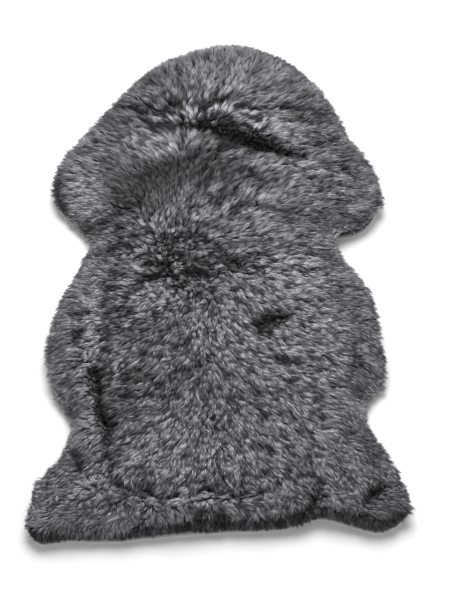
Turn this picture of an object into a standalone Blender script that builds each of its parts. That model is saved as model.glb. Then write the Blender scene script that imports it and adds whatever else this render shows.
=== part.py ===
"""A whole sheepskin rug lying flat: the tanned hide, and the wool fleece that grows on it.

The hide is a thin sheet of leather, cut to the pelt's own outline of neck, forelegs, belly and hind legs. The
fleece is a lumpy slab of wool that stands on the hide, bulges past its edge and ends in pointed locks all round.
The neck points to +Y and the hem between the hind legs lies at -Y. The rug rests on Z = 0, centred on X = Y = 0.
"""

import math
import random
from collections import namedtuple
from functools import cache

import bmesh
import bpy
import numpy as np
from mathutils import Matrix, Vector, geometry, noise

MM = 0.001
HIDE_THICKNESS = 2.2 * MM
HIDE_TO_FLEECE = 0.3 * MM
PILE = 38 * MM

RIM_STEP = 18 * MM        # spacing of the rim's points
HIDE_STEP = 30 * MM       # spacing of the hide's inner points
FLEECE_STEP = 16 * MM     # spacing of the points over the wool's surface
FOLD_STEP = 13 * MM       # spacing of the points along a fold
FOLD_ROWS = (-0.5, 0.0, 0.5)  # where the points lie across a fold, as shares of its reach
CLEARANCE = 0.6           # the least distance between two points, as a share of their spacing
MERGE_DISTANCE = 1e-7
RIM_LIFT_REACH = 55 * MM  # how far in from the edge a lifted rim comes down to the floor

LUMP_SIZE = 26 * MM
LUMP_HEIGHT = 5.5 * MM
SWELL_SIZE = 120 * MM
SWELL_HEIGHT = 2.0 * MM

LOCK_SHARE = 0.88         # share of the rim's faces that carry a lock
LOCK_SPREAD = 0.45        # how much one lock's length differs from the next
LOCK_LEAN = 0.55          # how far a lock leans along the rim, for each unit that it stands out
LOCK_DROOP = 0.35
SEED = 7

LEATHER_COLOUR = (0.56, 0.54, 0.52)
LEATHER_ROUGHNESS = 0.85
WOOL_COLOUR = (0.107, 0.107, 0.114)
WOOL_ROUGHNESS = 0.95

# The leather's edge, clockwise from the neck, in millimetres. lift is how high the edge stands off the floor
# there, and lock is how long the wool's pointed ends are.
Rim = namedtuple("Rim", "name x y lift lock")
RIM = (
    Rim("neck tip", 30, 470, 1, 5),
    Rim("neck, right", 103, 442, 1, 5),
    Rim("cheek, right", 163, 382, 1, 5),
    Rim("nape, right", 205, 307, 2, 5),
    Rim("nape notch, right", 222, 264, 3, 4),
    Rim("shoulder, right", 246, 233, 2, 5),
    Rim("foreleg, right", 271, 155, 2, 6),
    Rim("foreleg foot, right", 255, 117, 2, 5),
    Rim("foreleg back, right", 233, 92, 3, 4),
    Rim("waist, right", 188, 80, 4, 3),
    Rim("armpit, right", 200, 40, 2, 5),
    Rim("ribs, right", 233, -13, 1, 6),
    Rim("belly, right", 253, -75, 1, 6),
    Rim("flank, right", 265, -176, 2, 6),
    Rim("flank end, right", 255, -205, 2, 5),
    Rim("flank notch, right", 229, -238, 4, 3),
    Rim("thigh, right", 236, -286, 2, 6),
    Rim("hind leg, right", 270, -352, 1, 6),
    Rim("heel, right", 292, -402, 1, 6),
    Rim("heel corner, right", 289, -430, 1, 6),
    Rim("hem corner, right", 252, -453, 0, 5),
    Rim("hem, right", 201, -440, 2, 5),
    Rim("hem pleat", 153, -432, 7, 4),
    Rim("hem, right of middle", 112, -445, 2, 5),
    Rim("hem, middle", -42, -455, 0, 5),
    Rim("hem, left of middle", -175, -468, 0, 5),
    Rim("hem, left", -228, -467, 2, 5),
    Rim("hem corner, left", -277, -472, 0, 6),
    Rim("heel corner, left", -293, -456, 1, 6),
    Rim("heel, left", -287, -423, 1, 9),
    Rim("hind leg, left", -279, -387, 1, 13),
    Rim("thigh, left", -254, -350, 1, 12),
    Rim("flank notch, left", -225, -262, 2, 9),
    Rim("flank end, left", -251, -224, 1, 6),
    Rim("flank, left", -271, -152, 1, 5),
    Rim("belly, left", -257, -57, 1, 5),
    Rim("ribs, left", -231, 6, 1, 5),
    Rim("waist, left", -213, 64, 4, 3),
    Rim("foreleg back, left", -234, 105, 3, 4),
    Rim("foreleg foot, left", -262, 136, 2, 5),
    Rim("foreleg, left", -273, 181, 2, 6),
    Rim("shoulder, left", -263, 226, 2, 5),
    Rim("nape, left", -212, 302, 2, 5),
    Rim("nape notch, left", -152, 383, 2, 6),
    Rim("cheek, left", -116, 416, 1, 5),
    Rim("neck, left", -52, 455, 1, 5),
)

# The rim's cross-section, from the leather up to where the wool turns in over the top. outset is in millimetres
# past the leather's edge, and height is a share of the pile.
Ring = namedtuple("Ring", "outset height")
FLEECE_RINGS = (
    Ring(-2.5, 0.0),
    Ring(3.5, 0.28),
    Ring(5.5, 0.56),
    Ring(0.0, 0.84),
    Ring(-14.0, 0.98),
)
LOCK_BANDS = (1, 2)       # the bands of faces, counted upwards from the leather, that carry the locks

# The main folds, each a run of sections, in millimetres. wool is how far the wool's surface rises there, or sinks
# where it is less than nothing. leather is how far the hide is buckled up off the floor, and reach is how far to
# each side the fold runs out.
Fold = namedtuple("Fold", "name x y wool leather reach")
FOLDS = (
    Fold("neck crease", -165, 346, -4, 0, 18),
    Fold("neck crease", -112, 322, -10, 0, 20),
    Fold("neck crease", -52, 301, -12, 0, 20),
    Fold("neck crease", 10, 292, -13, 0, 22),
    Fold("neck crease", 64, 265, -16, 0, 26),
    Fold("neck crease", 102, 251, -13, 0, 22),
    Fold("neck crease", 150, 230, -5, 0, 18),
    Fold("neck bank", -150, 305, 3, 3, 36),
    Fold("neck bank", -40, 262, 4, 4, 38),
    Fold("neck bank", 30, 236, 2, 2, 34),
    Fold("cheek crease", 150, 252, -7, 0, 16),
    Fold("cheek crease", 198, 271, -5, 0, 16),
    Fold("nape hollow", -45, 190, -6, 0, 60),
    Fold("nape hollow", 75, 185, -7, 0, 62),
    Fold("flank groove", -193, -24, -4, 0, 18),
    Fold("flank groove", -198, -111, -9, 0, 20),
    Fold("flank groove", -199, -174, -10, 0, 21),
    Fold("flank groove", -185, -275, -9, 0, 20),
    Fold("flank groove", -167, -374, -10, 0, 20),
    Fold("flank ridge", -222, -30, 2, 3, 34),
    Fold("flank ridge", -228, -150, 4, 5, 36),
    Fold("flank ridge", -211, -289, 4, 4, 34),
    Fold("flank ridge", -194, -345, 2, 2, 30),
    Fold("hem crease", -167, -374, -9, 0, 20),
    Fold("hem crease", -128, -392, -12, 0, 21),
    Fold("hem crease", -72, -403, -12, 0, 21),
    Fold("hem crease", -4, -393, -10, 0, 20),
    Fold("hem crease", 35, -386, -11, 0, 20),
    Fold("hem crease", 90, -397, -5, 0, 16),
    Fold("hem roll", -160, -420, 2, 3, 34),
    Fold("hem roll", -20, -424, 4, 4, 34),
    Fold("hem roll", 80, -418, 2, 3, 32),
    Fold("pleat crease", 164, -388, -7, 0, 16),
    Fold("pleat crease", 143, -424, -10, 0, 18),
    Fold("pleat crease", 152, -446, -6, 6, 18),
    Fold("heel hollow", 247, -392, -6, 0, 18),
    Fold("heel hollow", 224, -416, -4, 0, 18),
    Fold("right flank ridge", 219, -105, 3, 3, 32),
    Fold("right flank ridge", 214, -245, 3, 3, 32),
)


def clear_scene():
    for thing in list(bpy.data.objects):
        bpy.data.objects.remove(thing, do_unlink=True)


def closed_curve(rows, step):
    """Points about a step apart on the smooth closed curve through the rows. The other columns follow it."""
    knots = np.array([row[1:] for row in rows], dtype=float) * MM
    points = []
    for i, start in enumerate(knots):
        before, end, after = knots[i - 1], knots[(i + 1) % len(knots)], knots[(i + 2) % len(knots)]
        gaps = [math.dist(a[:2], b[:2]) ** 0.5 for a, b in ((before, start), (start, end), (end, after))]
        leave = (start - before) / gaps[0] - (end - before) / (gaps[0] + gaps[1]) + (end - start) / gaps[1]
        arrive = (end - start) / gaps[1] - (after - start) / (gaps[1] + gaps[2]) + (after - end) / gaps[2]
        pieces = max(1, round(math.dist(start[:2], end[:2]) / step))
        for t in np.arange(pieces) / pieces:
            points.append(
                (2 * t**3 - 3 * t**2 + 1) * start
                + (t**3 - 2 * t**2 + t) * leave * gaps[1]
                + (3 * t**2 - 2 * t**3) * end
                + (t**3 - t**2) * arrive * gaps[1]
            )
    return np.array(points)


def outward(ring):
    """The unit normal at each point of a clockwise ring, pointing away from the pelt."""
    along = np.roll(ring[:, :2], -1, axis=0) - np.roll(ring[:, :2], 1, axis=0)
    along /= np.linalg.norm(along, axis=1)[:, None]
    return np.column_stack((-along[:, 1], along[:, 0]))


def soft_step(distance, reach):
    """1 at no distance, 0 at the reach and past it, and smooth between."""
    share = np.minimum(distance / reach, 1.0)
    return (1.0 - share**2) ** 2


@cache
def fold_stretches():
    """Each fold's stretches, from one of its sections to the next, listed fold by fold."""
    folds = {}
    for a, b in zip(FOLDS, FOLDS[1:]):
        if a.name == b.name:
            folds.setdefault(a.name, []).append((a, b))
    return list(folds.values())


def fold_sum(x, y, column):
    """What the folds add to a column, wool or leather, at a point."""
    total = 0.0
    for stretches in fold_stretches():
        nearest, value = 1.0, 0.0
        for a, b in stretches:
            run = Vector((b.x - a.x, b.y - a.y)) * MM
            away = Vector((x - a.x * MM, y - a.y * MM))
            t = min(max(away.dot(run) / run.length_squared, 0.0), 1.0)
            distance = (away - run * t).length
            reach = (a.reach + (b.reach - a.reach) * t) * MM
            if distance / reach < nearest:
                nearest = distance / reach
                size = getattr(a, column) + (getattr(b, column) - getattr(a, column)) * t
                value = size * MM * soft_step(distance, reach)
        total += value
    return total


def lift(x, y, edge):
    """How far the leather is off the floor: its lifted rim, and its buckles."""
    distances = np.hypot(edge[:, 0] - x, edge[:, 1] - y)
    i = int(distances.argmin())
    rim_lift = float(edge[i, 2] * soft_step(distances[i], RIM_LIFT_REACH))
    return max(rim_lift, 0.0) + fold_sum(x, y, "leather")


def pile(x, y):
    """The wool's depth: even but for small lumps, a slow swell and the folds."""
    lump = noise.noise(Vector((x, y, 0.0)) / LUMP_SIZE) * LUMP_HEIGHT
    swell = noise.noise(Vector((x, y, 1.0)) / SWELL_SIZE) * SWELL_HEIGHT
    return PILE + lump + swell + fold_sum(x, y, "wool")


def inside(point, ring, margin):
    """Whether a point lies within a ring and at least a margin away from it."""
    if np.hypot(*(ring[:, :2] - point).T).min() < margin:
        return False
    ahead = np.roll(ring[:, :2], -1, axis=0)
    crosses = (ring[:, 1] > point[1]) != (ahead[:, 1] > point[1])
    share = (point[1] - ring[crosses, 1]) / (ahead[crosses, 1] - ring[crosses, 1])
    at = ring[crosses, 0] + share * (ahead[crosses, 0] - ring[crosses, 0])
    return int((at > point[0]).sum()) % 2 == 1


def apart(point, others, step):
    return all(math.dist(point, other) > step * CLEARANCE for other in others)


def honeycomb(ring, step):
    """Evenly spread points inside a ring, in rows that are staggered by half a step."""
    low, high = ring[:, :2].min(axis=0), ring[:, :2].max(axis=0)
    row_step = step * math.sqrt(3) / 2
    points = []
    for row, y in enumerate(np.arange(low[1], high[1], row_step)):
        for x in np.arange(low[0] + step / 2 * (row % 2), high[0], step):
            if inside((x, y), ring, step * CLEARANCE):
                points.append((x, y))
    return points


def fold_points(ring):
    """Points along the bottom of each fold and half-way up both its sides."""
    points = []
    for a, b in [stretch for stretches in fold_stretches() for stretch in stretches]:
        start, end = Vector((a.x, a.y)) * MM, Vector((b.x, b.y)) * MM
        side = (end - start).orthogonal().normalized()
        pieces = max(1, round((end - start).length / FOLD_STEP))
        for t in np.arange(pieces) / pieces:
            reach = (a.reach + (b.reach - a.reach) * t) * MM
            for across in FOLD_ROWS:
                point = start.lerp(end, t) + side * across * reach
                if apart(point, points, FOLD_STEP) and inside(point, ring, FOLD_STEP * CLEARANCE):
                    points.append(point)
    return points


def triangles(ring, inner):
    """The ring and its inner points joined into even triangles: all the points, and the triangles' corners."""
    flat = [Vector(point[:2]) for point in ring] + [Vector(point[:2]) for point in inner]
    border = list(range(len(ring)))[::-1]
    inside_only = 1
    points, _, faces, *_ = geometry.delaunay_2d_cdt(flat, [], [border], inside_only, MERGE_DISTANCE)
    return points, faces


def add_verts(bm, points, height):
    return [bm.verts.new((x, y, height(x, y))) for x, y in points]


def add_band(bm, first, second):
    """A closed band of faces between two clockwise rings, facing up where the second is the outer one."""
    return [
        bm.faces.new((first[i - 1], first[i], second[i], second[i - 1]))
        for i in range(len(first))
    ]


def finish(bm, name, collection, material):
    bmesh.ops.triangulate(bm, faces=bm.faces)
    mesh = bpy.data.meshes.new(name)
    bm.to_mesh(mesh)
    bm.free()
    mesh.shade_smooth()
    mesh.materials.append(material)
    piece = bpy.data.objects.new(name, mesh)
    collection.objects.link(piece)
    return piece


def make_material(name, colour, roughness):
    material = bpy.data.materials.new(name)
    material.use_nodes = True
    shader = material.node_tree.nodes["Principled BSDF"]
    shader.inputs["Base Color"].default_value = (*colour, 1.0)
    shader.inputs["Roughness"].default_value = roughness
    shader.inputs["Metallic"].default_value = 0.0
    return material


def make_hide(collection, edge, foot):
    """The leather: one sheet, on the floor but for its lifted rim and its buckles."""
    def top(x, y):
        return lift(x, y, edge) + HIDE_THICKNESS

    bm = bmesh.new()
    points, faces = triangles(foot, honeycomb(foot, HIDE_STEP))
    verts = add_verts(bm, points, top)
    for corners in faces:
        bm.faces.new([verts[i] for i in corners])
    add_band(bm, verts[:len(foot)], add_verts(bm, edge[:, :2], top))
    material = make_material("tanned leather", LEATHER_COLOUR, LEATHER_ROUGHNESS)
    hide = finish(bm, "hide", collection, material)
    wall = hide.modifiers.new("thickness", "SOLIDIFY")
    wall.thickness = HIDE_THICKNESS
    wall.offset = -1.0
    return hide


def add_locks(bm, faces, lengths, rng):
    """A pointed lock on most of a band's faces, each drawn out to a tip that leans and droops a little."""
    for face, length in zip(faces, lengths):
        if rng.random() > LOCK_SHARE:
            continue
        out = face.normal.copy()
        along = Vector((-out.y, out.x, 0.0)) * rng.uniform(-LOCK_LEAN, LOCK_LEAN)
        droop = Vector((0.0, 0.0, -rng.uniform(0.0, LOCK_DROOP)))
        reach = length * rng.uniform(1.0 - LOCK_SPREAD, 1.0 + LOCK_SPREAD)
        tip = bmesh.ops.poke(bm, faces=[face])["verts"][0]
        tip.co += (out + along + droop) * reach


def make_fleece(collection, edge, foot):
    """The wool: flat on the hide, bulging past its edge, tufted at the rim and lumpy and creased on top."""
    def height(share):
        def at(x, y):
            return lift(x, y, edge) + HIDE_THICKNESS + HIDE_TO_FLEECE + share * pile(x, y)
        return at

    bm = bmesh.new()
    points, faces = triangles(foot, honeycomb(foot, HIDE_STEP))
    floor = add_verts(bm, points, height(0.0))
    for corners in faces:
        bm.faces.new([floor[i] for i in reversed(corners)])

    away = outward(edge)
    rings = [edge[:, :2] + away * ring.outset * MM for ring in FLEECE_RINGS]
    loops = [floor[:len(foot)]]
    for ring, points in zip(FLEECE_RINGS[1:], rings[1:]):
        loops.append(add_verts(bm, points, height(ring.height)))
    bands = [add_band(bm, upper, lower) for lower, upper in zip(loops, loops[1:])]

    creases = fold_points(rings[-1])
    spread = [point for point in honeycomb(rings[-1], FLEECE_STEP) if apart(point, creases, FLEECE_STEP)]
    points, faces = triangles(rings[-1], creases + spread)
    top = loops[-1] + add_verts(bm, points[len(edge):], height(1.0))
    for corners in faces:
        bm.faces.new([top[i] for i in corners])

    bm.normal_update()
    rng = random.Random(SEED)
    for band in LOCK_BANDS:
        add_locks(bm, bands[band], edge[:, 3], rng)
    material = make_material("grey wool", WOOL_COLOUR, WOOL_ROUGHNESS)
    return finish(bm, "fleece", collection, material)


def centre(pieces):
    """Moves the pieces so that their common box is centred on X = Y = 0."""
    corners = np.array([vertex.co for piece in pieces for vertex in piece.data.vertices])
    middle = (corners.min(axis=0) + corners.max(axis=0)) / 2
    for piece in pieces:
        piece.data.transform(Matrix.Translation((-middle[0], -middle[1], 0.0)))


def main():
    clear_scene()
    collection = bpy.data.collections.new("sheepskin rug")
    bpy.context.scene.collection.children.link(collection)
    edge = closed_curve(RIM, RIM_STEP)
    foot = edge[:, :2] + outward(edge) * FLEECE_RINGS[0].outset * MM
    hide = make_hide(collection, edge, foot)
    fleece = make_fleece(collection, edge, foot)
    centre([hide, fleece])


main()
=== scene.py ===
"""A grey sheepskin rug lying flat: a tanned hide, and the thick wool that grows on it."""

import math

import bmesh
import bpy
import numpy as np
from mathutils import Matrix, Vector, kdtree, noise


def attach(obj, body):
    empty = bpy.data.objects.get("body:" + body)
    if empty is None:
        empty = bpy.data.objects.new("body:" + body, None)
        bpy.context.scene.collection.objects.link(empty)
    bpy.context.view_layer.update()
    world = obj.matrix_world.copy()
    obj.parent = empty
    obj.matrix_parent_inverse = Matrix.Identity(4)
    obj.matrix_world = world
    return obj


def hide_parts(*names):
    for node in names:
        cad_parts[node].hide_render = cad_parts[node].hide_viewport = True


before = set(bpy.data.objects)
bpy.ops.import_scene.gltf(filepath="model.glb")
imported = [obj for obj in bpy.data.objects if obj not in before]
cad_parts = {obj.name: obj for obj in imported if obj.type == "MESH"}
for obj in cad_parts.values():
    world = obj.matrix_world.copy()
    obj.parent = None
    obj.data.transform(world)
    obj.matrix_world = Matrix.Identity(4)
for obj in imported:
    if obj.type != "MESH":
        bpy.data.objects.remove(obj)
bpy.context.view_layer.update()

# --------------------------------------------------------------------------------------------------------
# The camera stands some way off the hem, and looks down steeply on the whole rug, with the neck at the top
# of the picture.
# --------------------------------------------------------------------------------------------------------
CAMERA_TARGET = Vector((0.01570, -0.02110, 0.0))
CAMERA_DISTANCE = 3.6
CAMERA_ELEVATION = math.radians(59.0)
CAMERA_LENS = 132.363

back = Vector((0.0, -math.cos(CAMERA_ELEVATION), math.sin(CAMERA_ELEVATION)))
camera = bpy.data.objects.new("camera", bpy.data.cameras.new("camera"))
camera.data.lens = CAMERA_LENS
camera.location = CAMERA_TARGET + back * CAMERA_DISTANCE
camera.rotation_euler = (-back).to_track_quat("-Z", "Y").to_euler()
bpy.context.collection.objects.link(camera)
bpy.context.scene.camera = camera

# --------------------------------------------------------------------------------------------------------
# The leather hide is one sheet of tanned sheepskin, cut to the pelt's outline. It is suede below, where
# it lies on the floor, and its pale cut edge shows along the hem. The wool grows out of its upper face.
# --------------------------------------------------------------------------------------------------------
MM = 0.001
MERGE = 0.00001
STEEP = 0.5               # a face whose normal rises less than this is part of the cut edge
EDGE_STEPS = (0.1, 0.3, 0.5, 0.7, 0.9)
LEATHER_ROUGHNESS = 0.82
LEATHER_SHEEN = 0.25
LEATHER_PALE = (0.82, 0.82, 0.82)
LEATHER_DARK = (0.68, 0.67, 0.67)
STAINS = 14.0             # about how many stains, fibres of the nap and pores lie along a metre
NAP = 900.0
PORES = 420.0
NAP_RELIEF = 0.6 * MM


def merged_copy(node, name):
    """A copy of a CAD node's mesh with its loose triangles joined."""
    bm = bmesh.new()
    bm.from_mesh(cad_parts[node].data)
    bmesh.ops.remove_doubles(bm, verts=bm.verts, dist=MERGE)
    mesh = bpy.data.meshes.new(name)
    bm.to_mesh(mesh)
    bm.free()
    mesh.materials.clear()
    piece = bpy.data.objects.new(name, mesh)
    bpy.context.collection.objects.link(piece)
    return piece


def keep_result(piece):
    """Makes the result of the piece's modifiers its plain mesh."""
    graph = bpy.context.evaluated_depsgraph_get()
    mesh = bpy.data.meshes.new_from_object(piece.evaluated_get(graph), depsgraph=graph)
    piece.modifiers.clear()
    piece.data = mesh


def node_maker(tree):
    """A maker of nodes in this tree, each with its settings and with what its inputs take."""

    def add(kind, links=None, **settings):
        node = tree.nodes.new(kind)
        for key, value in settings.items():
            setattr(node, key, value)
        for socket, source in (links or {}).items():
            if hasattr(source, "node"):
                tree.links.new(source, node.inputs[socket])
            else:
                node.inputs[socket].default_value = source
        return node

    return add


def new_material(name):
    """A node material: its tree, its shader and a maker of nodes."""
    material = bpy.data.materials.new(name)
    material.use_nodes = True
    tree = material.node_tree
    return material, tree, tree.nodes["Principled BSDF"], node_maker(tree)


def two_tone(add, factor, dark_at, dark, pale_at, pale):
    """A colour that runs from dark to pale as the factor rises from the one value to the other."""
    ramp = add("ShaderNodeValToRGB", {"Fac": factor})
    for element, spot, colour in zip(ramp.color_ramp.elements, (dark_at, pale_at), (dark, pale)):
        element.position = spot
        element.color = (*colour, 1.0)
    return ramp.outputs["Color"]


def leather_material():
    material, tree, shader, add = new_material("tanned leather")
    place = add("ShaderNodeTexCoord").outputs["Object"]
    stain = add("ShaderNodeTexNoise", {"Vector": place, "Scale": STAINS, "Detail": 5.0, "Roughness": 0.6})
    nap = add("ShaderNodeTexNoise", {"Vector": place, "Scale": NAP, "Detail": 4.0, "Roughness": 0.7})
    grain = add("ShaderNodeTexVoronoi", {"Vector": place, "Scale": PORES})
    mottle = add("ShaderNodeMath", {0: stain.outputs["Fac"], 1: nap.outputs["Fac"]}, operation="MULTIPLY")
    colour = two_tone(add, mottle.outputs[0], 0.10, LEATHER_DARK, 0.42, LEATHER_PALE)
    relief = add("ShaderNodeMath", {0: nap.outputs["Fac"], 1: grain.outputs["Distance"]}, operation="ADD")
    bump = add("ShaderNodeBump", {"Height": relief.outputs[0], "Strength": 0.35, "Distance": NAP_RELIEF})
    tree.links.new(colour, shader.inputs["Base Color"])
    tree.links.new(bump.outputs["Normal"], shader.inputs["Normal"])
    shader.inputs["Roughness"].default_value = LEATHER_ROUGHNESS
    shader.inputs["Specular IOR Level"].default_value = 0.25
    shader.inputs["Sheen Weight"].default_value = LEATHER_SHEEN
    shader.inputs["Sheen Roughness"].default_value = 0.6
    return material


def cut_edge(mesh):
    """Points closely spaced along the sheet's upper edge, each with the way out from there."""
    bm = bmesh.new()
    bm.from_mesh(mesh)
    points, ways = [], []
    for edge in bm.edges:
        walls = [face for face in edge.link_faces if abs(face.normal.z) < STEEP]
        tops = [face for face in edge.link_faces if face.normal.z >= STEEP]
        if walls and tops:
            out = walls[0].normal
            for share in EDGE_STEPS:
                points.append(edge.verts[0].co.lerp(edge.verts[1].co, share)[:2])
                ways.append(out[:2])
    bm.free()
    return np.array(points), np.array(ways)


def from_edge(places):
    """How far each place is from the sheet's edge, seen from above, and the way out from there."""
    found = [edge_tree.find((x, y, 0.0)) for x, y, z in places]
    gaps = np.array([gap for spot, number, gap in found])
    return gaps, np.array([(*edge_ways[number], 0.0) for spot, number, gap in found])


leather = merged_copy("hide", "leather_hide")
edge_points, edge_ways = cut_edge(leather.data)
edge_tree = kdtree.KDTree(len(edge_points))
for number, (x, y) in enumerate(edge_points):
    edge_tree.insert((x, y, 0.0), number)
edge_tree.balance()
leather.data.materials.append(leather_material())
leather.data.shade_smooth()
softened = leather.modifiers.new("softened edge", "SUBSURF")
softened.levels = 1
softened.render_levels = 1
keep_result(leather)
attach(leather, "root")
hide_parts("hide")

# --------------------------------------------------------------------------------------------------------
# The wool's bed is the dense lower wool that stands on the hide. It is one closed mat, painted dark as the
# deep shade among the strands, and it gives the fleece its creases, lumps and partings. The strands above it
# hide all but the gaps.
# --------------------------------------------------------------------------------------------------------
BED_GRID = 6.5 * MM
BED_SMOOTHING = 3
BED_DEPTH_TOP = 7.0 * MM
BED_DEPTH_SIDE = 5.0 * MM
BED_RELIEF = 4.0 * MM
BED_ROUGHNESS = 0.9
TUFTS = 160.0
COMB_REACH = 40.0 * MM
# Painted shade: the bed's colour is the deep shade that shows in the gaps between the strands.
BED_PAINTED_SHADE = (0.020, 0.020, 0.022)

# The slopes that count as the bed's top and as its underside, by how far the normal rises or falls: none
# below the first number, and all from the second on.
TOP_SLOPE = (0.1, 0.8)
UNDERSIDE_SLOPE = (0.35, 0.8)

# A crease wanders this far off its line. One shallower than the first number of millimetres breaks up, and
# one deeper than the second runs on. The wool turns away from it in full up to the first share of its
# reach, and no more from the second on.
CREASE_WANDER = 7.0 * MM
CREASE_BREAKS = (6.5, 10.0)
CREASE_SPREAD = (0.4, 1.3)

# How deep from the edge the clipping reaches, and how far the rim is drawn back at the hem. The hem's
# stretch begins and is in full this many metres from the middle, where the rim faces the hind end this
# much.
TRIM_DEEP = 30.0 * MM
HEM_BACK = 5.0 * MM
HEM_FROM = (0.25, 0.35)
HEM_FACING = (0.1, 0.7)

# The drifts that the wool lies in, broad ones and fine ones: their size in metres with the number of their
# pattern, their height in millimetres, and the steps over which they are drawn out along the wool. On the
# neck, from and to so many metres from the middle, they are half as high.
BROAD_DRIFTS = (0.020, 17.0)
FINE_DRIFTS = (0.010, 7.0)
BROAD_HEIGHT = 6.0
FINE_HEIGHT = 4.0
DRAW_STEPS = (-1.0, -0.5, 0.0, 0.5, 1.0)
CALMER_NECK = (0.35, 0.42)

# Where the bed lies deeper in the wool: a place, a radius and how much deeper, all in millimetres.
TRIMMED = (
    (-165, 340, 80, 5.0), (-215, 250, 45, 3.0), (-200, 20, 45, 3.0), (240, 20, 45, 2.0),
    (-250, -330, 40, 4.0),
)

# Where the rim of the wool was clipped closer, or left to stand out further, than the solid's: a place, a
# radius and how much was clipped, all in millimetres.
CLIPPED = (
    (-172, 373, 40, 2.5), (-214, 64, 26, 4.0), (-246, -20, 40, 2.0), (-235, -278, 24, 4.5),
    (-297, -420, 40, 4.0), (278, 178, 26, 3.0), (214, 42, 26, 3.0), (272, -129, 40, 4.0),
    (232, 86, 28, 4.5), (-242, -241, 18, -3.0), (-263, -345, 16, -5.0), (270, -327, 45, -4.0),
    (137, -443, 18, -4.0), (176, 386, 50, -2.5), (254, -31, 30, -3.0), (-283, -470, 18, -3.0),
    (286, -443, 20, -3.0), (-101, 447, 30, -2.5), (-262, -140, 40, -2.5),
)

# Where the wool thins out to the edge and its wall stands lower: a place, a radius and how much lower.
THINNED = (
    (-262, 126, 30, 0.40), (-240, 104, 30, 0.46), (-214, 84, 30, 0.42), (248, -200, 30, 0.45),
    (232, -225, 28, 0.50), (-245, -225, 30, 0.50), (-236, -255, 28, 0.45), (240, 92, 26, 0.35),
)
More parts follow.
